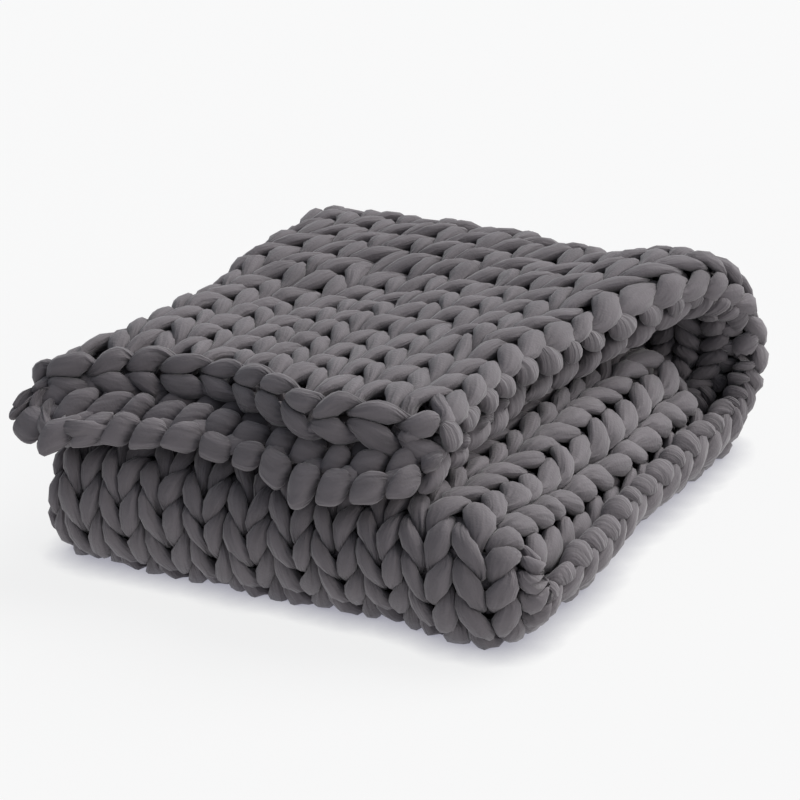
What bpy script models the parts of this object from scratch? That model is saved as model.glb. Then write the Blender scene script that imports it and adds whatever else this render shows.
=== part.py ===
"""Chunky knitted weighted blanket, folded in half along its length and then in three.

It is one sheet. A hairpin fold down the left side makes it double, and the double sheet is
then wrapped like a letter: its middle third ends inside the back loop, its bottom third lies
flat, and its top third comes forward over both and ends in an open lip.
Metres, +Z up, +X to the right, -Y to the front. The origin is under the middle of the base.
"""
import bmesh
import bpy
import numpy as np

# The sheet
SHEET_THICKNESS = 0.028
LAYER_GAP = 0.0055

# The wrap, seen from the right side
FRONT_FOLD_Y = -0.268
BACK_LOOP_Y = 0.212
INNER_END_Y = 0.186
LIP_Y = -0.240
TOP_LOOSENESS = 0.0035      # extra gap between the two sheets of the top third
TOP_LIFT = 0.006            # the top third lies this much higher than tight packing

# Faces along each stretch of the wrap and across each part of its section
WRAP_STEPS = (12, 12, 8, 14, 18)
CROSS_STEPS = (14, 8, 9)
SELVAGE_EASING = 1.5        # above 1 draws the outer sheet's steps together at its curled selvage

# Wrap position: 0 inner end, 1 to 2 front fold, 2 to 3 base, 3 to 4 back loop, 5 lip
SIDE_STATIONS = (
    # wrap position, left fold x, outer selvage x, inner selvage x, outer selvage's curl
    (0.0, -0.202, 0.242, 0.186, 0.050),
    (0.7, -0.208, 0.247, 0.186, 0.052),
    (0.92, -0.210, 0.249, 0.186, 0.030),
    (1.0, -0.210, 0.250, 0.186, 0.026),
    (1.5, -0.214, 0.266, 0.190, 0.026),
    (2.0, -0.219, 0.276, 0.196, 0.026),
    (2.5, -0.225, 0.270, 0.196, 0.030),
    (3.0, -0.228, 0.272, 0.214, 0.020),
    (3.5, -0.231, 0.282, 0.244, 0.008),
    (3.8, -0.231, 0.258, 0.242, 0.004),
    (4.0, -0.230, 0.224, 0.222, 0.003),
    (4.3, -0.222, 0.172, 0.170, 0.002),
    (4.6, -0.208, 0.150, 0.150, 0.002),
    (5.0, -0.200, 0.152, 0.160, 0.002),
)
SELVAGE_CURL_WIDTH = 0.060
HAIRPIN_DEPTH = 1.05        # depth of the left fold against half its height
OPEN_FOLD_DEPTH = 0.020     # further depth where the fold opens at the lip
OPEN_FOLD_SQUARENESS = 0.20 # 0 keeps the fold round where it opens at the lip

# The lip: how far each sheet's bound edge reaches past LIP_Y
LIP_START = 4.45            # wrap position where the lip's wave begins
LIP_STATIONS = (
    # x, outer sheet's reach, inner sheet's reach, outer sheet's drop, inner sheet's drop
    (-0.26, 0.062, 0.070, 0.012, 0.014),
    (-0.20, 0.040, 0.090, 0.010, 0.004),
    (-0.14, 0.010, 0.066, 0.004, 0.000),
    (-0.06, 0.010, 0.056, 0.004, 0.000),
    (0.00, 0.030, 0.064, 0.004, 0.000),
    (0.06, 0.050, 0.080, 0.004, 0.000),
    (0.11, 0.044, 0.078, 0.004, 0.000),
    (0.16, 0.030, 0.056, 0.004, 0.000),
)
OPEN_FOLD_SWELL = 0.062     # the open end of the left fold bulges this far outwards
DRAPE_CLEARANCE = 0.0050    # between the inner sheet's lip and the front fold under it
BACK_CORNER_LIFT = 0.017    # the loop stands a little higher at its open right end

COLOUR = (0.115, 0.105, 0.108, 1.0)
ROUGHNESS = 0.85

# Heights that follow from the sheet
LEVEL_STEP = SHEET_THICKNESS + LAYER_GAP
BOTTOM_Z = SHEET_THICKNESS / 2 + LEVEL_STEP / 2
MIDDLE_Z = BOTTOM_Z + 2 * LEVEL_STEP
TOP_Z = MIDDLE_Z + 2 * LEVEL_STEP + TOP_LIFT
WRAP_CENTRES_Y = (INNER_END_Y, FRONT_FOLD_Y, FRONT_FOLD_Y, BACK_LOOP_Y, BACK_LOOP_Y, LIP_Y)


def smooth_step(value):
    share = np.clip(value, 0.0, 1.0)
    return share * share * (3 - 2 * share)


def wrap_point(position):
    """Middle of the double sheet (y, z), and the angle of its outer side in that plane."""
    centre_y = np.interp(position, range(6), WRAP_CENTRES_Y)
    upper_z = np.where(position < 2.5, MIDDLE_Z, TOP_Z)
    radius = (upper_z - BOTTOM_Z) / 2
    angle = np.pi * (0.5 + np.clip(position - 1, 0, 1) + np.clip(position - 3, 0, 1))
    y = centre_y + radius * np.cos(angle)
    z = (upper_z + BOTTOM_Z) / 2 + radius * np.sin(angle)
    return y, z, angle


def drape_height(y):
    """Height at which a sheet lying over the front fold rests, at depth y."""
    fold_radius = (MIDDLE_Z - BOTTOM_Z) / 2 + LEVEL_STEP / 2
    reach = fold_radius + SHEET_THICKNESS + DRAPE_CLEARANCE
    past = np.clip(FRONT_FOLD_Y - y, 0.0, 0.95 * reach)
    return (MIDDLE_Z + BOTTOM_Z) / 2 + np.sqrt(reach * reach - past * past)


def surface_point(position, place):
    """Middle of the sheet at a wrap position and a place across it.

    place runs 0 to 1 over the outer sheet from its selvage, 1 to 2 round the left hairpin
    and 2 to 3 over the inner sheet to its selvage.
    """
    knots, *columns = np.array(SIDE_STATIONS).T
    fold_x, outer_x, inner_x, curl = (np.interp(position, knots, column) for column in columns)
    half = LEVEL_STEP / 2 + TOP_LOOSENESS / 2 * smooth_step(position - 3)
    lip = np.clip((position - LIP_START) / (5 - LIP_START), 0, 1)
    fold_x = fold_x - OPEN_FOLD_SWELL * lip**3
    depth = half * HAIRPIN_DEPTH + OPEN_FOLD_DEPTH * lip**3

    turn = np.pi * np.clip(place - 1, 0, 1)
    bulge = np.sin(turn) ** (1 - OPEN_FOLD_SQUARENESS * lip)
    outer_share = np.clip(1 - place, 0, 1)
    inner_share = np.clip(place - 2, 0, 1)
    tangent_x = fold_x + depth
    x = tangent_x - depth * bulge
    x = x + outer_share * (outer_x - tangent_x) + inner_share * (inner_x - tangent_x)
    curled = np.clip((x - outer_x + SELVAGE_CURL_WIDTH) / SELVAGE_CURL_WIDTH, 0, 1)
    offset = half * np.cos(turn) - curl * curled**2 * (place < 1)
    y, z, angle = wrap_point(position)
    y = y + offset * np.cos(angle)
    z = z + offset * np.sin(angle)

    outerness = (1 + np.cos(turn)) / 2
    knots, *columns = np.array(LIP_STATIONS).T
    outer_reach, inner_reach, outer_drop, inner_drop = (
        np.interp(x, knots, column) for column in columns)
    y = y - (outerness * outer_reach + (1 - outerness) * inner_reach) * lip**1.4
    sag = np.maximum(TOP_Z - half - drape_height(y), 0) * smooth_step(position - 4)
    z = z - (1 - outerness) * sag
    z = z - (outerness * outer_drop + (1 - outerness) * inner_drop) * lip**2

    corner = smooth_step((x - 0.10) / 0.10) * smooth_step((y - 0.05) / 0.15)
    z = z + BACK_CORNER_LIFT * corner * smooth_step((z - 0.10) / 0.06)
    return np.stack([x, y, z], axis=-1)


def surface_normal(position, place):
    """Unit normal of the middle surface, towards the outer side of the wrap."""
    step = 1e-3
    along = surface_point(position + step, place) - surface_point(position - step, place)
    across = surface_point(position, place + step) - surface_point(position, place - step)
    normal = np.cross(across, along)
    return normal / np.linalg.norm(normal, axis=-1, keepdims=True)


def stretch_marks(steps, easing=1.0):
    """Values 0 to len(steps), with the given number of steps in each unit, the first unit's eased."""
    marks = [unit + (step + 1) / count for unit, count in enumerate(steps) for step in range(count)]
    marks = np.array([0.0] + marks)
    return np.where(marks < 1, marks**easing, marks)


def sheet_skins():
    """Outer and inner skin of the sheet, each a grid of points, centred over the origin."""
    position, place = np.meshgrid(
        stretch_marks(WRAP_STEPS), stretch_marks(CROSS_STEPS, SELVAGE_EASING), indexing="ij")
    middle = surface_point(position, place)
    offset = SHEET_THICKNESS / 2 * surface_normal(position, place)
    skins = np.array([middle + offset, middle - offset])
    centre = (skins.min(axis=(0, 1, 2)) + skins.max(axis=(0, 1, 2))) / 2
    return skins - [centre[0], centre[1], 0.0]


def closed_sheet(name, skins):
    """Mesh of two skins, each a grid of points, joined all round their rim."""
    rows, columns = skins.shape[1:3]
    mesh = bmesh.new()
    front, back = [[[mesh.verts.new(point) for point in row] for row in skin] for skin in skins]
    for row in range(rows - 1):
        for column in range(columns - 1):
            ring = [(row, column), (row, column + 1), (row + 1, column + 1), (row + 1, column)]
            mesh.faces.new([front[r][c] for r, c in ring])
            mesh.faces.new([back[r][c] for r, c in reversed(ring)])
    rim = [(0, c) for c in range(columns)]
    rim += [(r, columns - 1) for r in range(1, rows)]
    rim += [(rows - 1, c) for c in range(columns - 2, -1, -1)]
    rim += [(r, 0) for r in range(rows - 2, 0, -1)]
    for (r0, c0), (r1, c1) in zip(rim, rim[1:] + rim[:1]):
        mesh.faces.new([front[r0][c0], back[r0][c0], back[r1][c1], front[r1][c1]])
    bmesh.ops.triangulate(mesh, faces=mesh.faces[:])
    bmesh.ops.recalc_face_normals(mesh, faces=mesh.faces[:])
    data = bpy.data.meshes.new(name)
    mesh.to_mesh(data)
    mesh.free()
    return data


def yarn_material():
    material = bpy.data.materials.new("yarn")
    material.use_nodes = True
    shader = material.node_tree.nodes["Principled BSDF"]
    shader.inputs["Base Color"].default_value = COLOUR
    shader.inputs["Roughness"].default_value = ROUGHNESS
    shader.inputs["Metallic"].default_value = 0.0
    return material


def build():
    for item in list(bpy.data.objects):
        bpy.data.objects.remove(item, do_unlink=True)
    data = closed_sheet("knitted_blanket", sheet_skins())
    data.materials.append(yarn_material())
    blanket = bpy.data.objects.new("knitted_blanket", data)
    bpy.context.scene.collection.objects.link(blanket)


build()
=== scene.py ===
import bmesh
import bpy
import numpy as np
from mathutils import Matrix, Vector


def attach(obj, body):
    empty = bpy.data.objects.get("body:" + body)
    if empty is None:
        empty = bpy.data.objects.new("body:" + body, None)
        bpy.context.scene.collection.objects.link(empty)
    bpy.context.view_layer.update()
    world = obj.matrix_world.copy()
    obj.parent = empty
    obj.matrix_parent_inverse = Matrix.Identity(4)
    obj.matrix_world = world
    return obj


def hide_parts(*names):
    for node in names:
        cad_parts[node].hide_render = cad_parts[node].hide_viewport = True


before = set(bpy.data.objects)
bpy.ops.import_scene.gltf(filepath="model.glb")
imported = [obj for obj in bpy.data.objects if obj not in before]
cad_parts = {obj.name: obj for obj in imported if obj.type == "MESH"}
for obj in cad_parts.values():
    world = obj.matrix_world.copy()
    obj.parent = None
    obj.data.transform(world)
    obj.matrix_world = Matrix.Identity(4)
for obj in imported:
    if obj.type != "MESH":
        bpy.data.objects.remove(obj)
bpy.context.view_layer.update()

shift = Vector((0.00564479, -0.00931281, 0.0))  # from the folding's own axes to the part's centre
tiny = 1e-9  # keeps divisions and comparisons safe
nudge = 1e-3  # small step that slopes are measured over

# how the sheet is folded, with the same sizes as the solid
folding = {
    "thickness": 0.028,
    "layerGap": 0.0055,
    "frontFoldY": -0.268,
    "backLoopY": 0.212,
    "innerEndY": 0.186,
    "lipY": -0.240,
    "topLooseness": 0.0035,  # extra gap between the two sheets of the top third
    "topLift": 0.006,  # the top third lies this much higher than tight packing
    "selvageCurlWidth": 0.060,
    "hairpinDepth": 1.05,  # depth of the left fold against half its height
    "openFoldDepth": 0.020,  # further depth where the fold opens at the lip
    "openFoldSquareness": 0.20,
    "openFoldSwell": 0.062,  # how far the open end of the left fold bulges outwards
    "lipStart": 4.45,  # wrap position where the lip's wave begins
    "lipReachPower": 1.4,  # higher keeps the wave closer to the lip
    "drapeClearance": 0.0050,
    "drapeLimit": 0.95,  # share of the front fold's reach that the drape follows
    "backCornerLift": 0.017,  # the back loop stands a little higher at its open right end
    "backCornerFrom": (0.10, 0.05, 0.10),  # where that lift begins, in x, y and height
    "backCornerFade": (0.10, 0.15, 0.06),
    # wrap position, left fold x, outer selvage x, inner selvage x, outer selvage's curl
    "sides": (
        (0.0, -0.202, 0.242, 0.186, 0.050),
        (0.7, -0.208, 0.247, 0.186, 0.052),
        (0.92, -0.210, 0.249, 0.186, 0.030),
        (1.0, -0.210, 0.250, 0.186, 0.026),
        (1.5, -0.214, 0.266, 0.190, 0.026),
        (2.0, -0.219, 0.276, 0.196, 0.026),
        (2.5, -0.225, 0.270, 0.196, 0.030),
        (3.0, -0.228, 0.272, 0.214, 0.020),
        (3.5, -0.231, 0.282, 0.244, 0.008),
        (3.8, -0.231, 0.258, 0.242, 0.004),
        (4.0, -0.230, 0.224, 0.222, 0.003),
        (4.3, -0.222, 0.172, 0.170, 0.002),
        (4.6, -0.208, 0.150, 0.150, 0.002),
        (5.0, -0.200, 0.152, 0.160, 0.002),
    ),
    # x, outer reach, inner reach, outer drop, inner drop
    "lip": (
        (-0.26, 0.062, 0.070, 0.012, 0.014),
        (-0.20, 0.040, 0.090, 0.010, 0.004),
        (-0.14, 0.010, 0.066, 0.004, 0.0),
        (-0.06, 0.010, 0.056, 0.004, 0.0),
        (0.00, 0.030, 0.064, 0.004, 0.0),
        (0.06, 0.050, 0.080, 0.004, 0.0),
        (0.11, 0.044, 0.078, 0.004, 0.0),
        (0.16, 0.030, 0.056, 0.004, 0.0),
    ),
}
levelStep = folding["thickness"] + folding["layerGap"]
bottomZ = folding["thickness"] / 2 + levelStep / 2
middleZ = bottomZ + 2 * levelStep
topZ = middleZ + 2 * levelStep + folding["topLift"]


def smoothStep(value):
    share = np.clip(value, 0.0, 1.0)
    return share * share * (3 - 2 * share)


def stations(rows, at):
    knots, *columns = np.array(rows).T
    return [np.interp(at, knots, column) for column in columns]


def wrapPoint(position):
    # the middle of the double sheet in the side view, and which way its outer side faces there
    f = folding
    front, back = f["frontFoldY"], f["backLoopY"]
    centreY = np.interp(position, range(6), (f["innerEndY"], front, front, back, back, f["lipY"]))
    upperZ = np.where(position < 2.5, middleZ, topZ)  # the base's middle is where the heights change over
    radius = (upperZ - bottomZ) / 2
    angle = np.pi * (0.5 + np.clip(position - 1, 0, 1) + np.clip(position - 3, 0, 1))
    return centreY + radius * np.cos(angle), (upperZ + bottomZ) / 2 + radius * np.sin(angle), angle


def drapeHeight(y):
    # how high a sheet rests where it lies over the front fold
    reach = (middleZ - bottomZ) / 2 + levelStep / 2 + folding["thickness"] + folding["drapeClearance"]
    past = np.clip(folding["frontFoldY"] - y, 0.0, folding["drapeLimit"] * reach)
    return (middleZ + bottomZ) / 2 + np.sqrt(reach * reach - past * past)


def sheetPoint(position, place):
    # wrap position: 0 inner end, 1 to 2 front fold, 2 to 3 base, 3 to 4 back loop, 5 lip
    # place: 0 to 1 outer sheet from its selvage, 1 to 2 left fold, 2 to 3 inner sheet to its selvage
    f = folding
    foldX, outerX, innerX, curl = stations(f["sides"], position)
    half = levelStep / 2 + f["topLooseness"] / 2 * smoothStep(position - 3)
    lip = np.clip((position - f["lipStart"]) / (5 - f["lipStart"]), 0, 1)
    foldX = foldX - f["openFoldSwell"] * lip**3
    depth = half * f["hairpinDepth"] + f["openFoldDepth"] * lip**3
    turn = np.pi * np.clip(place - 1, 0, 1)
    bulge = np.sin(turn) ** (1 - f["openFoldSquareness"] * lip)
    outerShare = np.clip(1 - place, 0, 1)
    innerShare = np.clip(place - 2, 0, 1)
    tangentX = foldX + depth
    x = tangentX - depth * bulge
    x = x + outerShare * (outerX - tangentX) + innerShare * (innerX - tangentX)
    curled = np.clip((x - outerX + f["selvageCurlWidth"]) / f["selvageCurlWidth"], 0, 1)
    offset = half * np.cos(turn) - curl * curled**2 * (place < 1)
    y, z, angle = wrapPoint(position)
    y = y + offset * np.cos(angle)
    z = z + offset * np.sin(angle)
    outerness = (1 + np.cos(turn)) / 2
    outerReach, innerReach, outerDrop, innerDrop = stations(f["lip"], x)
    y = y - (outerness * outerReach + (1 - outerness) * innerReach) * lip ** f["lipReachPower"]
    sag = np.maximum(topZ - half - drapeHeight(y), 0) * smoothStep(position - 4)
    z = z - (1 - outerness) * sag
    z = z - (outerness * outerDrop + (1 - outerness) * innerDrop) * lip**2
    cornerX, cornerY, cornerZ = (
        smoothStep((value - begin) / fade)
        for value, begin, fade in zip((x, y, z), f["backCornerFrom"], f["backCornerFade"])
    )
    z = z + f["backCornerLift"] * (cornerX * cornerY) * cornerZ
    return np.stack([x, y, z], axis=-1) - np.array(shift)


# the selvages roll on to the purl side past the solid's edges
roll = {
    "radius": 0.020,
    # wrap position, outer selvage's roll, how far inside it the roll starts, inner selvage's roll
    "widths": (
        (0.0, 0.030, 0.0, 0.004),
        (1.0, 0.026, 0.0, 0.004),
        (2.0, 0.012, 0.004, 0.004),
        (3.0, 0.016, 0.018, 0.004),
        (3.4, 0.020, 0.024, 0.004),
        (3.8, 0.022, 0.022, 0.004),
        (4.3, 0.018, 0.004, 0.006),
        (5.0, 0.016, 0.0, 0.006),
    ),
}
# the middle of the top lies lower than its edges
dip = {
    "depth": 0.014,
    "centre": (-0.06, -0.02),
    "halfSize": (0.25, 0.26),
    "above": 0.11,  # height where it begins
    "fade": 0.06,
}
# the open fold's left end is pressed together a little
pressing = {
    "height": 0.168,  # what is above and below draws in to this height
    "share": 0.29,
    "inward": 0.007,
    "back": 0.004,
    "leftOf": -0.12,
    "frontOf": -0.17,
    "fade": 0.08,
}


def beyondEdges(position, place):
    # the sheet carried on straight past its two ends and rolled past its two selvages
    p = np.clip(position, 0.0, 5.0)
    selvage = np.zeros_like(p)
    near = (sheetPoint(p, selvage + nudge) - sheetPoint(p, selvage)) / nudge
    start = stations(roll["widths"], p)[1] / np.linalg.norm(near, axis=-1)
    q = np.clip(place, start, 3.0)
    point = sheetPoint(p, q)
    pIn = np.where(position >= 5.0, p - nudge, p + nudge)
    qIn = np.where(place >= 3.0, q - nudge, q + nudge)
    along = (sheetPoint(pIn, q) - point) / (pIn - p)[..., None]
    across = (sheetPoint(p, qIn) - point) / (qIn - q)[..., None]
    size = np.linalg.norm(across, axis=-1, keepdims=True)
    side = np.sign(place - q)[..., None]
    outward = across / size * side
    back = np.cross(across, along)
    back -= outward * (back * outward).sum(-1, keepdims=True)
    back /= np.linalg.norm(back, axis=-1, keepdims=True)
    angle = np.abs(place - q)[..., None] * size / roll["radius"]
    rolled = outward * np.sin(angle) - back * (1 - np.cos(angle))
    point = point + along * (position - p)[..., None] + rolled * roll["radius"]
    dipX, dipY = ((point[..., i] - dip["centre"][i]) / dip["halfSize"][i] for i in range(2))
    inside = (1 - smoothStep(np.abs(dipX))) * (1 - smoothStep(np.abs(dipY)))
    point[..., 2] -= dip["depth"] * inside * smoothStep((point[..., 2] - dip["above"]) / dip["fade"])
    pressed = smoothStep((pressing["leftOf"] - point[..., 0]) / pressing["fade"])
    pressed = pressed * smoothStep((pressing["frontOf"] - point[..., 1]) / pressing["fade"])
    pressed = pressed * smoothStep(position - 4)
    point[..., 0] += pressing["inward"] * pressed
    point[..., 1] += pressing["back"] * pressed
    point[..., 2] += (pressing["height"] - point[..., 2]) * pressing["share"] * pressed
    return point


def sheetNormal(position, place):
    step = 2 * nudge
    across = beyondEdges(position, place + step) - beyondEdges(position, place - step)
    along = beyondEdges(position + step, place) - beyondEdges(position - step, place)
    normal = np.cross(across, along)
    return normal / np.linalg.norm(normal, axis=-1, keepdims=True)


# how the rows and columns of stitches lie on the sheet
knitting = {
    "columns": 21,
    "stitchWidth": 0.045,
    "rowHeight": 0.0365,
    "firstRow": 0.3,  # the cast-on chain takes the rest
    "bandRows": 10,
    "bands": ("innerRows", "frontRows", "baseRows", "backRows", "topRows"),
    # wrap position, rows made when it is reached
    "rowsAt": (
        (0.0, 0.0),
        (1.0, 12.2),
        (2.0, 17.6),
        (3.0, 30.6),
        (4.0, 39.6),
        (4.3, 42.7),
        (4.6, 46.1),
        (5.0, 51.0),
    ),
    "edgeColumns": 2,
    # wrap position, width of both edge columns together, of each other one, columns round the left fold
    "columnStations": (
        (0.0, 0.118, 0.0455, 2.2),
        (1.0, 0.112, 0.0455, 2.2),
        (2.0, 0.098, 0.0455, 2.2),
        (3.0, 0.100, 0.0460, 2.2),
        (3.5, 0.098, 0.0460, 2.2),
        (4.0, 0.096, 0.0460, 2.4),
        (4.3, 0.094, 0.0458, 2.5),
        (4.6, 0.094, 0.0458, 2.5),
        (5.0, 0.094, 0.0455, 3.0),
    ),
    "arcSteps": 81,  # steps that the outer sheet's width is measured in
    "guideSteps": (4, 6),  # guide faces per column and per row
    "spare": (0.75, 1.8),  # columns and rows that the guide reaches past the knitting
    "joinWithin": 0.00005,  # ends this near each other become one yarn
    "unevenness": 0.019,
    "lumpSize": 0.05,
    "wideLumps": 4.0,  # the wide lumps' size against the near ones'
    "wideSeed": 7.0,
    "seed": 3.0,
}


def wrapPosition(rows):
    # how far round the wrap a count of rows reaches
    at, knots = np.array(knitting["rowsAt"]).T
    position = np.interp(rows, knots, at)
    lastStep = (at[-1] - at[-2]) / (knots[-1] - knots[-2])
    position = np.where(rows > knots[-1], at[-1] + (rows - knots[-1]) * lastStep, position)
    return np.where(rows < 0, rows / knots[1], position)


def placesAcross(position, columns):
    # where each column of stitches lies across the sheet, measured along it from the outer selvage
    k = knitting
    held = np.clip(position, 0.0, 5.0)
    edgeWidth, width, turning = (float(v) for v in stations(k["columnStations"], held))
    outerRoll, _, innerRoll = (float(v) for v in stations(roll["widths"], held))
    fine = np.linspace(0, 1, k["arcSteps"])
    line = sheetPoint(np.full_like(fine, held), fine)
    arc = outerRoll + np.concatenate([[0], np.cumsum(np.linalg.norm(np.diff(line, axis=0), axis=1))])
    rimStep = 0.02
    rim = sheetPoint(np.full(2, held), np.array([3.0 - rimStep, 3.0]))
    innerEnd = 3 + rimStep * innerRoll / np.linalg.norm(rim[1] - rim[0])
    edge = k["edgeColumns"]
    first = edge + (arc[-1] - edgeWidth) / width
    second = first + turning
    reached = np.where(columns < edge, columns / edge * edgeWidth, edgeWidth + (columns - edge) * width)
    slope = fine[1] / (arc[1] - arc[0])
    outer = np.where(reached < outerRoll, (reached - outerRoll) * slope, np.interp(reached, arc, fine))
    hairpin = 1 + (columns - first) / turning
    inner = 2 + (innerEnd - 2) * (columns - second) / (k["columns"] - second)
    return np.where(columns < first, outer, np.where(columns < second, hairpin, inner))


def gridObject(name, points, normals, flat):
    # a surface that stitches are laid on, with its flat place and its outward side kept on its points
    rows, columns = points.shape[:2]
    index = np.arange(rows * columns).reshape(rows, columns)
    corners = (index[:-1, :-1], index[:-1, 1:], index[1:, 1:], index[1:, :-1])
    quads = np.stack(corners, axis=-1).reshape(-1, 4)
    mesh = bpy.data.meshes.new(name)
    mesh.from_pydata(points.reshape(-1, 3).tolist(), [], quads.tolist())
    for label, values in (("outward", normals), ("flatPlace", flat)):
        kept = mesh.attributes.new(label, "FLOAT_VECTOR", "POINT")
        kept.data.foreach_set("vector", values.reshape(-1).astype(np.float32))
    guide = bpy.data.objects.new(name, mesh)
    bpy.context.collection.objects.link(guide)
    guide.hide_render = True
    return guide


def sheetGuide():
    k = knitting
    counts = (k["columns"], k["rowsAt"][-1][1])
    across, along = (
        np.linspace(-spare, count + spare, int(steps * (count + 2 * spare)) + 1)
        for count, spare, steps in zip(counts, k["spare"], k["guideSteps"])
    )
    rows, columns = np.meshgrid(along, across, indexing="ij")
    position = wrapPosition(rows)
    place = np.stack([placesAcross(p, across) for p in wrapPosition(along)])
    points = beyondEdges(position, place)
    flat = np.stack([columns * k["stitchWidth"], rows * k["rowHeight"], np.zeros_like(rows)], axis=-1)
    return gridObject("sheetGuide", points, sheetNormal(position, place), flat)


# one stitch: a loop of thick soft yarn, pressed against its neighbours
stitch = {
    "width": 0.045,
    "height": 0.0365,
    "lean": 0.0100,  # how far the legs spread and close
    "reach": 0.0405,  # half the loop's length
    "depth": 0.0085,  # how far the legs stand in front of the head
    "legRadius": 0.0122,
    "headRadius": 0.0108,
    "crossingRadius": 0.0050,  # where the yarns cross and pinch each other
    "swellPower": 0.9,  # lower keeps the yarn full for longer between crossings
    "endThinning": 0.0,  # the next stitch carries the yarn on
    "span": 1.0,
    "columnsBeside": 2,  # neighbours that it may touch, on each side
    "rowsBeside": 3,
    "contactGap": 0.0003,  # left between yarns that touch
    "ownReach": 0.032,  # along the yarn, what is nearer than this is not a neighbour
    "leastRadius": 0.002,
    "softness": 7.0,  # lower rounds the contact edges more
    "flatten": 0.80,  # the sheet's thickness against the free yarn's
    "rings": 26,
    "sides": 14,
    "samples": 96,  # places along the yarn where contact is looked for
}


def loopLine(t, s):
    # the middle of the yarn through one stitch, t from -pi to pi
    x = s["width"] * t / (2 * np.pi) + s["lean"] * np.sin(2 * t)
    y = s["reach"] * np.cos(t)
    z = -s["depth"] * np.cos(2 * t)
    return np.stack([x, y, z], axis=-1)


def loopRings(s):
    # the yarn swells until it meets the next yarn, and where nothing is near it keeps its own radius
    rings, sides = s["rings"], s["sides"]
    t = np.linspace(-np.pi, np.pi, rings + 1) * s["span"]
    centre = loopLine(t, s)
    tangent = loopLine(t + nudge, s) - loopLine(t - nudge, s)
    tangent /= np.linalg.norm(tangent, axis=1, keepdims=True)
    up = np.array([0.0, 0.0, 1.0])
    over = up - tangent * (tangent @ up)[:, None]
    over /= np.linalg.norm(over, axis=1, keepdims=True)
    beside = np.cross(tangent, over)
    angle = np.linspace(0, 2 * np.pi, sides, endpoint=False)
    ray = over[:, None] * np.cos(angle)[None, :, None] + beside[:, None] * np.sin(angle)[None, :, None]
    fine = np.linspace(-np.pi, np.pi, s["samples"], endpoint=False)
    line = loopLine(fine, s)
    step = np.linalg.norm(loopLine(fine + 2 * np.pi / s["samples"], s) - line, axis=1)
    reached = np.concatenate([[0], np.cumsum(step)])
    total, length = reached[-1], reached[:-1]
    own = np.interp(t, np.append(fine, np.pi), reached)
    far = 1.0
    touch = np.full((rings + 1, sides), far)
    for i in range(-s["columnsBeside"], s["columnsBeside"] + 1):
        for j in range(-s["rowsBeside"], s["rowsBeside"] + 1):
            other = line + np.array([i * s["width"], j * s["height"], 0.0])
            apart = other[None] - centre[:, None]
            square = (apart**2).sum(-1)
            toward = np.einsum("rad,rqd->raq", ray, apart)
            near = square[:, None, :] / np.maximum(2 * toward, tiny)
            if j == 0:
                along = np.abs(own[:, None] - (length[None] + i * total))
                near = np.where((along < s["ownReach"])[:, None, :], far, near)
            touch = np.minimum(touch, near.min(-1))
    swell = np.where(np.cos(2 * t) < 0, s["legRadius"], s["headRadius"]) - s["crossingRadius"]
    free = s["crossingRadius"] + swell * np.abs(np.cos(2 * t)) ** s["swellPower"]
    free = free * (1 - s["endThinning"] * np.abs(t / np.pi) ** 4)
    touch = np.maximum(touch - s["contactGap"], s["leastRadius"])
    soft = s["softness"]
    radius = (touch**-soft + (free**-soft)[:, None]) ** (-1 / soft)
    # even the swelling out a little round the yarn
    radius = (np.roll(radius, 1, 1) + 2 * radius + np.roll(radius, -1, 1)) / 4
    points = centre[:, None] + ray * radius[..., None]
    points[..., 2] *= s["flatten"]
    return points


def tubeObject(name, points, share):
    # rings of points joined into a tube; its map runs along the yarn, over a share of one whole loop
    rings, sides = points.shape[:2]
    faces, around = [], []
    for r in range(rings - 1):
        for q in range(sides):
            n = (q + 1) % sides
            faces.append((r * sides + q, r * sides + n, (r + 1) * sides + n, (r + 1) * sides + q))
            around += [(r, q), (r, q + 1), (r + 1, q + 1), (r + 1, q)]
    mesh = bpy.data.meshes.new(name)
    mesh.from_pydata(points.reshape(-1, 3).tolist(), [], faces)
    layer = mesh.uv_layers.new(name="yarn")
    placed = [(0.5 + (r / (rings - 1) - 0.5) * share, q / sides) for r, q in around]
    layer.data.foreach_set("uv", np.array(placed, dtype=np.float32).reshape(-1))
    tube = bpy.data.objects.new(name, mesh)
    bpy.context.collection.objects.link(tube)
    tube.hide_render = True
    return tube


# a selvage's turning yarn: one lump a row, wound round the edge from the back to the front
bead = {
    "bow": 0.012,  # how far it bows out round the edge
    "inset": 0.007,  # how far inside the edge the bow is centred
    "rise": 0.0085,  # how far its ends lie in front of and behind the edge
    "slant": 0.012,  # half of how far its front end lies along the edge from its back end
    "turn": 1.50,  # half the angle it winds through
    "thick": 0.0090,  # half its thickness, and half its width below
    "wide": 0.0160,
    "taper": (3, 0.9, 0.6),  # power, share and roundness of the thinning
    "yarnShare": 0.17,  # of the yarn in a whole stitch
    "lumps": 50,
    "firstRow": 0.9,
    "rings": 15,
    "sides": 14,
}


def taper(t, s):
    # thins a lump of yarn towards its two ends
    power, share, roundness = s["taper"]
    return (1 - np.abs(t) ** power * share) ** roundness


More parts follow.
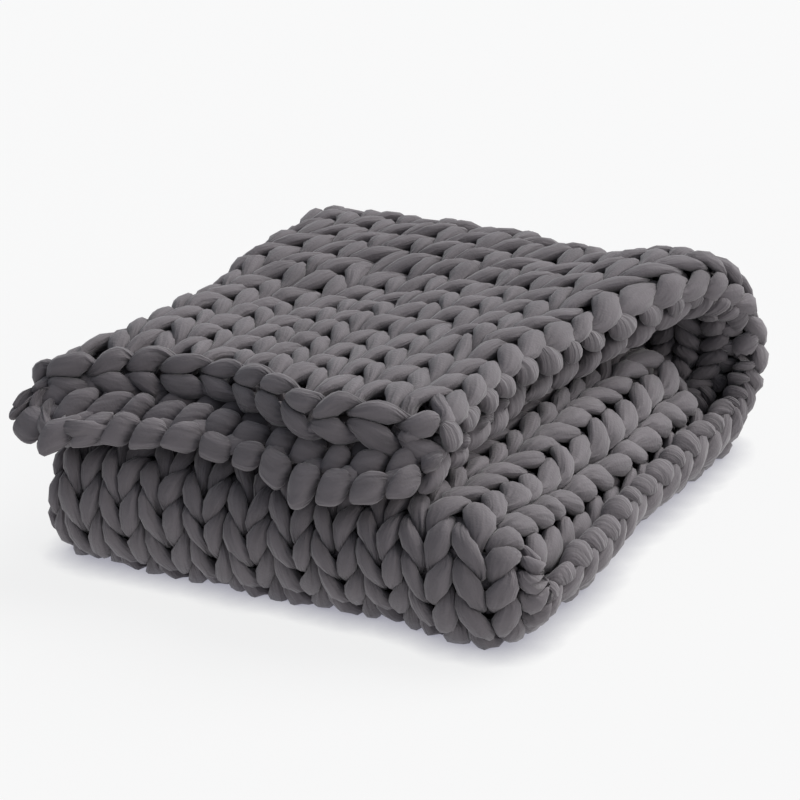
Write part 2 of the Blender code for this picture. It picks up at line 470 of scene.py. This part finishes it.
def beadObject(name, side):
    # side is 1 for the outer selvage and -1 for the inner one
    b = bead
    t = np.linspace(-1, 1, b["rings"])
    turned = t * b["turn"]
    x = b["inset"] - b["bow"] * np.cos(turned)
    y = b["slant"] * t
    z = b["rise"] * np.sin(turned)
    centre = np.stack([x * side, y, z], axis=-1)
    outward = np.stack([-np.cos(turned) * side, 0 * t, np.sin(turned)], axis=-1)
    along = np.array([0.0, 1.0, 0.0])
    angle = np.linspace(0, 2 * np.pi, b["sides"], endpoint=False) * side
    across = outward[:, None] * np.cos(angle)[None, :, None] * b["thick"]
    ring = across + along * np.sin(angle)[None, :, None] * b["wide"]
    return tubeObject(name, centre[:, None] + ring * taper(t, b)[:, None, None], b["yarnShare"])


# the flap shows the sheet's wrong side: one lump where each stitch's yarn lies across it
purl = {
    "width": 0.0350,
    "height": 0.040,  # every other row
    "half": 0.0112,  # half its length
    "arch": 0.0110,  # how far its middle stands out past its ends
    "out": 0.0035,  # how far its ends stand out
    "sag": 0.0020,
    "turn": 1.40,
    "thick": 0.0078,
    "wide": 0.0110,
    "rings": 13,
    "sides": 16,
    "squareness": 0.75,
    "tilt": 0.75,  # the rows lie like steps
    "taper": (4, 0.8, 0.6),
    "yarnShare": 0.25,
    "grid": (15, 4),  # columns and rows in each of the two grids
    "firstColumn": 10.0,
    "start": 1.6985,  # along the sheet, in metres
}


def purlObject(name):
    p = purl
    t = np.linspace(-1, 1, p["rings"])
    turned = t * p["turn"]
    x = p["half"] * np.sign(t) * np.abs(np.sin(turned)) ** p["squareness"]
    y = -p["sag"] * np.cos(turned)
    z = -p["out"] - p["arch"] * np.abs(np.cos(turned)) ** p["squareness"]
    centre = np.stack([x, y, z], axis=-1)
    outward = np.stack([np.sin(turned), 0 * t, -np.cos(turned)], axis=-1)
    along = np.array([0.0, 1.0, 0.0])
    angle = np.linspace(0, 2 * np.pi, p["sides"], endpoint=False)
    rise = np.sign(np.cos(angle)) * np.abs(np.cos(angle)) ** p["squareness"]
    spread = np.sign(np.sin(angle)) * np.abs(np.sin(angle)) ** p["squareness"]
    ring = outward[:, None] * rise[None, :, None] * p["thick"] + along * spread[None, :, None] * p["wide"]
    points = centre[:, None] + ring * taper(t, p)[:, None, None]
    level, height = points[..., 1].copy(), points[..., 2].copy()
    points[..., 1] = level * np.cos(p["tilt"]) - height * np.sin(p["tilt"])
    points[..., 2] = level * np.sin(p["tilt"]) + height * np.cos(p["tilt"])
    return tubeObject(name, points, p["yarnShare"])


# the bound edges: a chain of loops lying along the edge
chain = {
    "width": 0.029,
    "height": 0.0365,
    "lean": 0.0062,
    "reach": 0.031,
    "depth": 0.0080,
    "legRadius": 0.0110,
    "headRadius": 0.0095,
    "crossingRadius": 0.0075,
    "swellPower": 0.9,
    "endThinning": 2.1,  # how much each loop's ends thin out
    "span": 0.74,  # of the whole loop, its ends hidden inside the loop before
    "columnsBeside": 0,
    "rowsBeside": 3,
    "contactGap": 0.0003,
    "ownReach": 0.032,
    "leastRadius": 0.002,
    "softness": 6.0,
    "flatten": 1.0,
    "rings": 28,
    "sides": 14,
    "samples": 96,
    # loops left out before the first, loops made
    "lipLoops": (8.7, 17),
    "castOnLoops": (3.0, 20),
    "perColumn": 1.17,  # loops for each column of stitches
    "purlward": 0.002,  # how far the chain lies to the wrong side of the sheet's middle
    "bend": 0.040,  # radius that the chain's width is bent to
    "facing": 0.35,  # how far the chain turns to the right side of the knitting
    "flapFacing": 0.45,  # the same on the flap, past the left fold
    "flapFrom": (1.9, 0.3),  # place across the sheet where the flap begins, and its fade
    "foldTuck": 0.017,  # how far the chain is drawn in where the open fold turns
    "proud": -0.005,  # how far it stands out past the sheet's end
    "cornerRadius": 0.021,  # the chain's turn at the sheet's corners
    "cornerStart": 0.40,  # columns from the corner where it starts to turn
    "tuck": 0.018,  # how far its last loop is drawn into the selvage
    "tuckFrom": (0.020, 0.050),  # distance past the corner where that begins, and its fade
    # the ribbon that the loops are laid on
    "spareColumns": 1.5,  # past the sheet's corners
    "columnSteps": 8,
    "spareAcross": 0.3,  # past a loop's width, on each side
    "acrossSteps": 13,
}


def edgeGuide(name, position, outward):
    # a ribbon along one end of the sheet; outward is 1 past the lip and -1 past the inner end
    k, c = knitting, chain
    atLip = float(outward > 0)
    step = 1 / c["columnSteps"]
    count = np.arange(-c["spareColumns"], k["columns"] + c["spareColumns"] + step / 2, step)
    columns = k["columns"] - count if atLip else count
    corners = (c["cornerStart"], k["columns"] - c["cornerStart"])
    held = np.clip(columns, *corners)
    place = placesAcross(position, held)
    flapPlace, flapFade = c["flapFrom"]
    flap = smoothStep((place - flapPlace) / flapFade) * atLip
    end = np.full_like(place, position)
    edge = beyondEdges(end, place)
    away = beyondEdges(end + nudge * outward, place) - edge
    away /= np.linalg.norm(away, axis=1, keepdims=True)
    over = sheetNormal(end, place)
    # the edge's own direction, held past the two corners
    straight = np.abs(columns - held) < tiny
    inside = np.gradient(edge[straight], axis=0)
    along = np.zeros_like(edge)
    along[straight] = inside
    along[columns < corners[0]] = inside[-1 if atLip else 0]
    along[columns > corners[1]] = inside[0 if atLip else -1]
    along /= np.linalg.norm(along, axis=1, keepdims=True)
    # past each corner the path turns back along the selvage
    signed = ((count - np.clip(count, *corners)) * k["stitchWidth"])[:, None]
    past, toEnd, radius = np.abs(signed), along * np.sign(signed), c["cornerRadius"]
    turned = np.clip(past / radius, 0, np.pi / 2)
    back = (1 - np.cos(turned)) * radius + np.maximum(past - radius * np.pi / 2, 0)
    edge = edge + toEnd * np.sin(turned) * radius - away * back
    away = away * np.cos(turned) + toEnd * np.sin(turned)
    tuckPast, tuckFade = c["tuckFrom"]
    edge = edge - away * c["tuck"] * smoothStep((past - tuckPast) / tuckFade)
    # turned partly to the right side of the knitting
    facing = away + (c["facing"] + (c["flapFacing"] - c["facing"]) * flap[:, None]) * over
    tangent = np.gradient(edge, axis=0)
    tangent /= np.linalg.norm(tangent, axis=1, keepdims=True)
    facing -= tangent * (facing * tangent).sum(1, keepdims=True)
    facing /= np.linalg.norm(facing, axis=1, keepdims=True)
    side = np.cross(tangent, facing)
    edge = edge - over * c["purlward"] * atLip
    folded = np.sin(np.pi * np.clip(place - 1, 0, 1))[:, None]
    edge = edge - facing * c["foldTuck"] * folded * atLip
    # bent round across its width
    across = np.linspace(-c["spareAcross"], 1 + c["spareAcross"], c["acrossSteps"])
    angle = (across - 0.5) * c["width"] / c["bend"]
    bow = c["bend"] * np.stack([np.cos(angle) - 1, np.sin(angle)], axis=-1)
    edge, facing, side = edge[:, None], facing[:, None], side[:, None]
    points = edge + facing * (bow[None, :, :1] + c["proud"]) + side * bow[None, :, 1:]
    normals = facing * np.cos(angle)[None, :, None] + side * np.sin(angle)[None, :, None]
    flatAcross = np.tile(across * c["width"], (len(count), 1))
    flatAlong = np.repeat(count[:, None] * c["height"] * c["perColumn"], len(across), 1)
    flat = np.stack([flatAcross, flatAlong, np.zeros_like(flatAlong)], axis=-1)
    return gridObject(name, points, normals, flat)


class Value:
    # an output socket that can be written in sums, differences, products and powers
    def __init__(self, tree, socket):
        self.tree, self.socket = tree, socket

    def maths(self, operation, other=0.0, swapped=False):
        pair = (other, self) if swapped else (self, other)
        return self.tree.node("ShaderNodeMath", {"operation": operation}, {0: pair[0], 1: pair[1]})[0]

    def __add__(self, other):
        return self.maths("ADD", other)

    def __radd__(self, other):
        return self.maths("ADD", other, True)

    def __sub__(self, other):
        return self.maths("SUBTRACT", other)

    def __rsub__(self, other):
        return self.maths("SUBTRACT", other, True)

    def __mul__(self, other):
        return self.maths("MULTIPLY", other)

    def __rmul__(self, other):
        return self.maths("MULTIPLY", other, True)

    def __pow__(self, other):
        return self.maths("POWER", other)

    def __rpow__(self, other):
        return self.maths("POWER", other, True)


class Outputs:
    # a node's outputs, by name or number
    def __init__(self, tree, made):
        self.tree, self.made = tree, made

    def __getitem__(self, key):
        return Value(self.tree, self.made.outputs[key])


class Tree:
    # a node tree; node() adds any node with its settings and the values or links of its sockets
    def __init__(self, tree):
        self.tree = tree

    def node(self, kind, settings=None, values=None):
        made = self.tree.nodes.new(kind)
        for key, setting in (settings or {}).items():
            setattr(made, key, setting)
        for key, value in (values or {}).items():
            if isinstance(value, Value):
                self.tree.links.new(value.socket, made.inputs[key])
            else:
                made.inputs[key].default_value = value
        return Outputs(self, made)

    def mixed(self, share, first, second):
        # 6 and 7 are a Mix node's two colours, and 2 is its colour output
        return self.node("ShaderNodeMix", {"data_type": "RGBA"}, {0: share, 6: first, 7: second})[2]

    def vectorMaths(self, operation, values):
        return self.node("ShaderNodeVectorMath", {"operation": operation}, values)["Vector"]

    def vector(self, x, y, z):
        return self.node("ShaderNodeCombineXYZ", None, {"X": x, "Y": y, "Z": z})["Vector"]

    def parts(self, vector):
        return self.node("ShaderNodeSeparateXYZ", None, {"Vector": vector})


# the lowest yarn is pressed flat on the floor and the uppermost stands up freely
resting = {
    "sink": 0.014,
    "pressedHeight": 0.030,
    "lift": 0.005,
    "freeFrom": 0.150,  # height where the lift begins
    "freeTo": 0.205,
}


def knitTree():
    # lays stitches in rows and columns on the flat, joins them, makes them uneven
    # and bends them onto the guide
    group = bpy.data.node_groups.new("knitOnGuide", "GeometryNodeTree")
    sockets = (
        ("Stitch", "NodeSocketObject"),
        ("Guide", "NodeSocketObject"),
        ("Columns", "NodeSocketInt"),
        ("Rows", "NodeSocketInt"),
        ("Start across", "NodeSocketFloat"),
        ("Start along", "NodeSocketFloat"),
        ("Stitch width", "NodeSocketFloat"),
        ("Row height", "NodeSocketFloat"),
        ("Unevenness", "NodeSocketFloat"),
        ("Lump size", "NodeSocketFloat"),
        ("Seed", "NodeSocketFloat"),
        ("Material", "NodeSocketMaterial"),
    )
    for name, kind in sockets:
        group.interface.new_socket(name, in_out="INPUT", socket_type=kind)
    group.interface.new_socket("Knitting", in_out="OUTPUT", socket_type="NodeSocketGeometry")
    tree = Tree(group)
    given = tree.node("NodeGroupInput")
    columns, rows = given["Columns"], given["Rows"]
    width, pitch = given["Stitch width"], given["Row height"]
    grid = tree.node(
        "GeometryNodeMeshGrid",
        None,
        {
            "Size X": (columns - 1) * width,
            "Size Y": (rows - 1) * pitch,
            "Vertices X": columns,
            "Vertices Y": rows,
        },
    )["Mesh"]
    # the start is the outer corner of the first stitch, and the grid's origin is its middle
    middleX = given["Start across"] + columns * width * 0.5
    middleY = given["Start along"] + rows * pitch * 0.5
    middle = tree.vector(middleX, middleY, 0.0)
    spots = tree.node("GeometryNodeTransform", None, {"Geometry": grid, "Translation": middle})
    shape = tree.node("GeometryNodeObjectInfo", None, {"Object": given["Stitch"], "As Instance": True})
    laid = tree.node(
        "GeometryNodeInstanceOnPoints", None, {"Points": spots["Geometry"], "Instance": shape["Geometry"]}
    )["Instances"]
    real = tree.node("GeometryNodeRealizeInstances", None, {"Geometry": laid})["Geometry"]
    joined = tree.node(
        "GeometryNodeMergeByDistance", None, {"Geometry": real, "Distance": knitting["joinWithin"]}
    )["Geometry"]
    place = tree.node("GeometryNodeInputPosition")["Position"]

    def lumps(size, seedStep):
        # soft random shifts, even on both sides of zero
        shrunk = tree.vectorMaths("DIVIDE", {0: place, 1: tree.vector(size, size, size)})
        noise = tree.node(
            "ShaderNodeTexNoise",
            {"noise_dimensions": "4D"},
            {"Vector": shrunk, "W": given["Seed"] + seedStep, "Scale": 1.0, "Detail": 1.0},
        )["Color"]
        return tree.vectorMaths("SUBTRACT", {0: noise, 1: (0.5, 0.5, 0.5)})

    near = lumps(given["Lump size"], 0.0)
    wide = lumps(given["Lump size"] * knitting["wideLumps"], knitting["wideSeed"])
    both = tree.vectorMaths("ADD", {0: near, 1: wide})
    moved = tree.vectorMaths("SCALE", {0: both, "Scale": given["Unevenness"]})
    uneven = tree.vectorMaths("ADD", {0: place, 1: moved})
    kept = tree.node(
        "GeometryNodeStoreNamedAttribute",
        {"data_type": "FLOAT_VECTOR", "domain": "POINT"},
        {"Geometry": joined, "Name": "flat", "Value": place},
    )["Geometry"]
    surface = tree.node(
        "GeometryNodeObjectInfo", {"transform_space": "ORIGINAL"}, {"Object": given["Guide"]}
    )["Geometry"]

    def named(label):
        return tree.node(
            "GeometryNodeInputNamedAttribute", {"data_type": "FLOAT_VECTOR"}, {"Name": label}
        )["Attribute"]

    def sampled(value):
        return tree.node(
            "GeometryNodeSampleUVSurface",
            {"data_type": "FLOAT_VECTOR"},
            {"Mesh": surface, "Value": value, "UV Map": named("flatPlace"), "Sample UV": uneven},
        )["Value"]

    seat = sampled(tree.node("GeometryNodeInputPosition")["Position"])
    outward = sampled(named("outward"))
    side = tree.vectorMaths("NORMALIZE", {0: outward})
    raised = tree.vectorMaths("SCALE", {0: side, "Scale": tree.parts(uneven)["Z"]})
    bent = tree.parts(tree.vectorMaths("ADD", {0: seat, 1: raised}))
    height = bent["Z"]
    pressed = (height * (-1 / resting["pressedHeight"])).maths("EXPONENT")
    freed = tree.node(
        "ShaderNodeMapRange",
        {"interpolation_type": "SMOOTHSTEP"},
        {
            "Value": height,
            "From Min": resting["freeFrom"],
            "From Max": resting["freeTo"],
            "To Min": 0.0,
            "To Max": resting["lift"],
        },
    )["Result"]
    lowered = (height + freed - pressed * resting["sink"]).maths("MAXIMUM", 0.0)
    rested = tree.vector(bent["X"], bent["Y"], lowered)
    onSheet = tree.node("GeometryNodeSetPosition", None, {"Geometry": kept, "Position": rested})
    dyed = tree.node(
        "GeometryNodeSetMaterial", None, {"Geometry": onSheet["Geometry"], "Material": given["Material"]}
    )
    tree.node("NodeGroupOutput", None, {"Knitting": dyed["Geometry"]})
    return group


def knit(name, group, inputs):
    # runs the tree and keeps its result as a plain mesh with its ends closed
    piece = bpy.data.objects.new(name, bpy.data.meshes.new(name))
    bpy.context.collection.objects.link(piece)
    modifier = piece.modifiers.new("knitting", "NODES")
    modifier.node_group = group
    for item in group.interface.items_tree:
        if item.in_out == "INPUT":
            modifier[item.identifier] = inputs[item.name]
    evaluated = piece.evaluated_get(bpy.context.evaluated_depsgraph_get())
    mesh = bpy.data.meshes.new_from_object(evaluated)
    piece.modifiers.clear()
    piece.data = mesh
    mesh.name = name
    shell = bmesh.new()
    shell.from_mesh(mesh)
    rims = [edge for edge in shell.edges if edge.is_boundary]
    bmesh.ops.holes_fill(shell, edges=rims, sides=0)
    bmesh.ops.recalc_face_normals(shell, faces=shell.faces)
    for face in shell.faces:
        face.smooth = True
    shell.to_mesh(mesh)
    shell.free()
    print(f"{name}: {sum(len(p.vertices) - 2 for p in mesh.polygons)} triangles")
    return piece


# the tube yarn: soft matt jersey
yarnLook = {
    "light": (0.150, 0.134, 0.146, 1.0),
    "dark": (0.050, 0.044, 0.049, 1.0),
    "roughness": 0.78,
    "sheen": 0.25,
    "pleatsAround": 1.7,  # how close the pleats are, round and along the yarn
    "pleatsAlong": 6.0,
    "pleatsVary": (21.0, 17.0),  # how fast the pleats change over the sheet
    "pleatDepth": 0.0105,
    "pleatRoughness": 0.55,
    "pinchPower": 0.9,
    "smoothPart": 0.30,  # how much of the pleats shows away from the crossings
    "grainScale": 420.0,  # fine grain of the jersey
    "grainDepth": 0.00035,
    "broadScale": 16.0,  # soft lighter and darker places
    # what makes the yarn lighter: a base lightness, broad random tone, and painted shade (the swollen
    # legs lighter than the pinched crossings, and the pleats streaked darker, most where the yarns pinch)
    "lightness": 0.12,
    "broadShare": 0.5,
    "swellingShare": 0.4,
    "pleatShare": 0.8,
    "pinchedPleatShare": 1.8,
}


def yarnMaterial():
    # soft jersey tube: pleated where the yarns pinch each other and smooth where they swell
    k = yarnLook
    material = bpy.data.materials.new("softYarn")
    material.use_nodes = True
    tree = Tree(material.node_tree)
    material.node_tree.nodes.clear()
    onYarn = tree.parts(tree.node("ShaderNodeUVMap", {"uv_map": "yarn"})["UV"])
    flat = tree.parts(tree.node("ShaderNodeAttribute", {"attribute_name": "flat"})["Vector"])
    place = tree.node("ShaderNodeTexCoord")["Object"]
    turn = onYarn["Y"] * (2 * np.pi)
    loopAngle = (onYarn["X"] - 0.5) * (4 * np.pi)
    swelling = loopAngle.maths("COSINE").maths("ABSOLUTE")
    pinch = (1.0 - swelling) ** k["pinchPower"]
    aroundX, aroundY = turn.maths("COSINE") * k["pleatsAround"], turn.maths("SINE") * k["pleatsAround"]
    around = tree.vector(aroundX, aroundY, onYarn["X"] * k["pleatsAlong"])
    varyAcross, varyAlong = k["pleatsVary"]
    pleats = tree.node(
        "ShaderNodeTexNoise",
        {"noise_dimensions": "4D"},
        {
            "Vector": around,
            "W": flat["X"] * varyAcross + flat["Y"] * varyAlong,
            "Scale": 1.0,
            "Detail": 2.0,
            "Roughness": k["pleatRoughness"],
        },
    )["Fac"]
    grain, broad = (
        tree.node("ShaderNodeTexNoise", None, {"Vector": place, "Scale": scale, "Detail": detail})["Fac"]
        for scale, detail in ((k["grainScale"], 1.0), (k["broadScale"], 2.0))
    )
    depth = pleats * (pinch * (1 - k["smoothPart"]) + k["smoothPart"])
    folded = tree.node(
        "ShaderNodeBump", None, {"Height": depth, "Distance": k["pleatDepth"], "Strength": 1.0}
    )["Normal"]
    bumped = tree.node(
        "ShaderNodeBump",
        None,
        {"Height": grain, "Distance": k["grainDepth"], "Strength": 1.0, "Normal": folded},
    )["Normal"]
    # painted shade in the colour: the pleats streak it lighter and darker, most at the pinched crossings,
    # and the crossings stay darker than the swollen legs
    paintedPleatShading = (pleats - 0.5) * (pinch * k["pinchedPleatShare"] + k["pleatShare"])
    shade = broad * k["broadShare"] + paintedPleatShading + swelling * k["swellingShare"] + k["lightness"]
    clamped = tree.node("ShaderNodeClamp", None, {"Value": shade})["Result"]
    colour = tree.mixed(clamped, k["dark"], k["light"])
    shader = tree.node(
        "ShaderNodeBsdfPrincipled",
        None,
        {"Base Color": colour, "Roughness": k["roughness"], "Normal": bumped, "Sheen Weight": k["sheen"]},
    )
    tree.node("ShaderNodeOutputMaterial", None, {"Surface": shader["BSDF"]})
    return material


group = knitTree()
yarn = yarnMaterial()
guide = sheetGuide()
loop = tubeObject("stitchLoop", loopRings(stitch), stitch["span"])
chainLoop = tubeObject("chainLoop", loopRings(chain), chain["span"])
outerBead, innerBead = beadObject("outerBead", 1), beadObject("innerBead", -1)
lipGuide, innerGuide = edgeGuide("lipGuide", 5.0, 1), edgeGuide("innerGuide", 0.0, -1)
purlLump = purlObject("purlLump")
print("stitches and guides made")

columns, rows = knitting["columns"], knitting["bandRows"]
stitchWidth, rowHeight = knitting["stitchWidth"], knitting["rowHeight"]
selvageStart = bead["firstRow"] * rowHeight
purlColumns, purlRows = purl["grid"]
purlAcross, purlAlong = purl["firstColumn"] * stitchWidth, purl["start"]
lipSkipped, lipLoops = chain["lipLoops"]
castOnSkipped, castOnLoops = chain["castOnLoops"]
# piece, stitch, guide, columns, rows, start across, start along, sizes that space them
plan = [
    (name, loop, guide, columns, rows, 0.0, (knitting["firstRow"] + rows * band) * rowHeight, stitch)
    for band, name in enumerate(knitting["bands"])
]
# the second grid of lumps lies half a step off the first
for name, offset in (("flapPurlsEven", 0.0), ("flapPurlsOdd", 0.5)):
    across, along = purlAcross - offset * purl["width"], purlAlong + offset * purl["height"]
    plan.append((name, purlLump, guide, purlColumns, purlRows, across, along, purl))
for name, lump, edge in (("outerSelvage", outerBead, 0), ("innerSelvage", innerBead, columns)):
    across = (edge - 0.5) * stitchWidth
    plan.append((name, lump, guide, 1, bead["lumps"], across, selvageStart, stitch))
plan += [
    ("lipChain", chainLoop, lipGuide, 1, lipLoops, 0.0, lipSkipped * chain["height"], chain),
    ("castOnChain", chainLoop, innerGuide, 1, castOnLoops, 0.0, castOnSkipped * chain["height"], chain),
]
pieces = [
    knit(
        name,
        group,
        {
            "Stitch": shape,
            "Guide": laidOn,
            "Columns": countAcross,
            "Rows": countAlong,
            "Start across": startAcross,
            "Start along": startAlong,
            "Stitch width": sizes["width"],
            "Row height": sizes["height"],
            "Unevenness": knitting["unevenness"],
            "Lump size": knitting["lumpSize"],
            "Seed": knitting["seed"],
            "Material": yarn,
        },
    )
    for name, shape, laidOn, countAcross, countAlong, startAcross, startAlong, sizes in plan
]

for helper in (guide, lipGuide, innerGuide, loop, chainLoop, outerBead, innerBead, purlLump):
    bpy.data.objects.remove(helper)

for piece in pieces:
    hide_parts("knitted_blanket")
    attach(piece, "root")
print("knitting put in the sheet's place")

# floor, light and camera
studio = {
    "floorSize": 14.0,
    "floorRoughness": 0.9,
    "floorShine": 0.1,
    "cameraPlace": (1.0525, -2.0285, 0.9877),
    "cameraBack": (0.4323, -0.8254, 0.3631),
    "lens": 108.0,
    "sensor": 36.0,
    "floorColour": (0.10, 0.10, 0.10, 1.0),
    "floorGlow": (0.825, 0.825, 0.825, 1.0),
    # painted contact shadow: the floor's glow dims to this colour right under the yarn's edge, within the
    # reach below
    "shadeGlow": (0.30, 0.30, 0.36, 1.0),  # right under the yarn's edge
    "shadeReach": 0.030,
    "shadeSamples": 8,
    "airColour": (0.88, 0.93, 1.0, 1.0),
    "dimAir": (0.30, 0.33, 0.38, 1.0),
    "brightSide": (0.45, 0.70, 0.55),  # where the air is brightest
    "airStrength": 0.52,
    # name, colour, strength, softness, direction it comes from
    "lights": (
        ("softKey", (1.0, 0.98, 0.96), 2.6, 0.7, (0.35, 0.75, 0.85)),
        ("sideLight", (1.0, 0.96, 0.90), 0.8, 0.5, (1.0, -0.15, 0.50)),
    ),
}
bpy.ops.mesh.primitive_plane_add(size=studio["floorSize"], location=(0, 0, 0))
floor = bpy.context.object
floor.name = "studioFloor"
paint = bpy.data.materials.new("paleFloor")
paint.use_nodes = True
paint.node_tree.nodes.clear()
coat = Tree(paint.node_tree)
# a glowing table, so that shadows on it stay faint and close to the yarn; right under the yarn its glow
# is darkened by ambient occlusion, a painted contact shadow
openness = coat.node(
    "ShaderNodeAmbientOcclusion", {"samples": studio["shadeSamples"]}, {"Distance": studio["shadeReach"]}
)["AO"]
glow = coat.mixed(openness, studio["shadeGlow"], studio["floorGlow"])
matt = coat.node(
    "ShaderNodeBsdfPrincipled",
    None,
    {
        "Base Color": studio["floorColour"],
        "Roughness": studio["floorRoughness"],
        "Specular IOR Level": studio["floorShine"],
        "Emission Color": glow,
        "Emission Strength": 1.0,
    },
)["BSDF"]
coat.node("ShaderNodeOutputMaterial", None, {"Surface": matt})
floor.data.materials.append(paint)

world = bpy.data.worlds.new("studioAir")
bpy.context.scene.world = world
world.use_nodes = True
world.node_tree.nodes.clear()
sky = Tree(world.node_tree)
looking = sky.node("ShaderNodeTexCoord")["Generated"]
toward = sky.node(
    "ShaderNodeVectorMath", {"operation": "DOT_PRODUCT"}, {0: looking, 1: studio["brightSide"]}
)["Value"]
brightness = toward * 0.5 + 0.5  # 0 on the dim side and 1 on the bright side
air = sky.mixed(brightness, studio["dimAir"], studio["airColour"])
lit = sky.node("ShaderNodeBackground", None, {"Color": air, "Strength": studio["airStrength"]})
sky.node("ShaderNodeOutputWorld", None, {"Surface": lit["Background"]})

for name, colour, strength, softness, direction in studio["lights"]:
    sun = bpy.data.lights.new(name, "SUN")
    sun.energy = strength
    sun.color = colour
    sun.angle = softness
    lamp = bpy.data.objects.new(name, sun)
    lamp.rotation_euler = Vector(direction).to_track_quat("Z", "Y").to_euler()
    bpy.context.collection.objects.link(lamp)

camera = bpy.data.objects.new("camera", bpy.data.cameras.new("camera"))
camera.data.lens = studio["lens"]
camera.data.sensor_width = studio["sensor"]
camera.location = studio["cameraPlace"]
camera.rotation_euler = (-Vector(studio["cameraBack"])).to_track_quat("-Z", "Y").to_euler()
bpy.context.collection.objects.link(camera)
bpy.context.scene.camera = camera
bpy.context.scene.view_settings.view_transform = "Standard"
print("floor, light and camera made")
